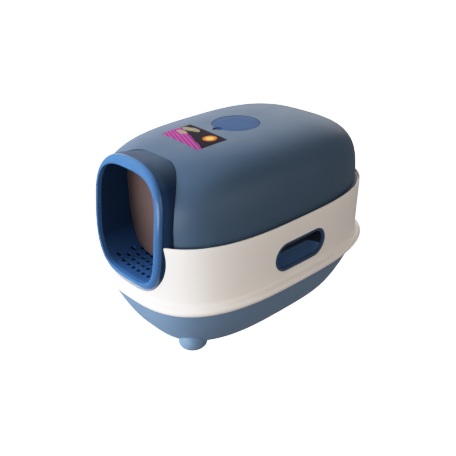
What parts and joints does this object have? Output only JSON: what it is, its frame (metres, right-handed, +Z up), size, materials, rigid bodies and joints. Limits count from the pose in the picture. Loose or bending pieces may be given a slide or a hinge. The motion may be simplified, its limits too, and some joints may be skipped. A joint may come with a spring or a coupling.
{
  "type": "drawer litter box",
  "caption": "Covered cat litter box: rounded blue hood and base, white middle ring, front tunnel with swing flap, top filter lid, side grips, sieve pan and rear waste drawer.",
  "frame": {"origin": "centre of the footprint, on the floor", "axes": "+Z up, +Y from the entrance towards the drawer (the entrance faces -Y), +X to the right seen from the entrance side looking towards +Y"},
  "size_m": [0.392, 0.56, 0.38],
  "materials": {
    "hood_blue": "satin moulded, slate blue",
    "base_blue": "satin moulded, slate blue",
    "port_blue": "satin moulded, royal blue",
    "ring_white": "semi-gloss moulded, warm white",
    "trim_navy": "satin moulded, navy",
    "lid_blue": "satin moulded, deep blue",
    "flap_brown": "smoked clear brown",
    "tray_grey": "satin moulded, pale grey",
    "pin_steel": "plain turned",
    "carbon_black": "black filter fleece"
  },
  "bodies": {
    "base": {"base_shell": "base_blue", "foot_front_left": "base_blue", "foot_front_right": "base_blue", "foot_rear_left": "base_blue", "foot_rear_right": "base_blue", "runner_left": "tray_grey", "runner_right": "tray_grey", "sieve_pan": "tray_grey"},
    "drawer": {"drawer_tray": "tray_grey", "drawer_front": "base_blue", "drawer_grip": "trim_navy"},
    "ring": {"middle_ring": "ring_white", "grip_left": "trim_navy", "grip_right": "trim_navy"},
    "hood": {"hood_shell": "hood_blue", "entry_tunnel": "port_blue", "filter_cup": "tray_grey", "carbon_filter": "carbon_black"},
    "lid": {"filter_lid": "lid_blue"},
    "flap": {"flap_panel": "flap_brown", "flap_pin_left": "pin_steel", "flap_pin_right": "pin_steel"}
  },
  "joints": [
    {"name": "drawer_slide", "type": "slide", "parent": "base", "child": "drawer", "axis": [0, 1, 0], "range_m": [0, 0.26]},
    {"name": "ring_lift", "type": "slide", "parent": "base", "child": "ring", "axis": [0, 0, 1], "range_m": [0, 0.1]},
    {"name": "hood_lift", "type": "slide", "parent": "ring", "child": "hood", "axis": [0, 0, 1], "range_m": [0, 0.15]},
    {"name": "lid_lift", "type": "slide", "parent": "hood", "child": "lid", "axis": [0, 0, 1], "range_m": [0, 0.08]},
    {"name": "flap_swing", "type": "hinge", "parent": "hood", "child": "flap", "pos_m": [0, -0.195, 0.349], "axis": [1, 0, 0], "range_deg": [-35, 75]}
  ]
}
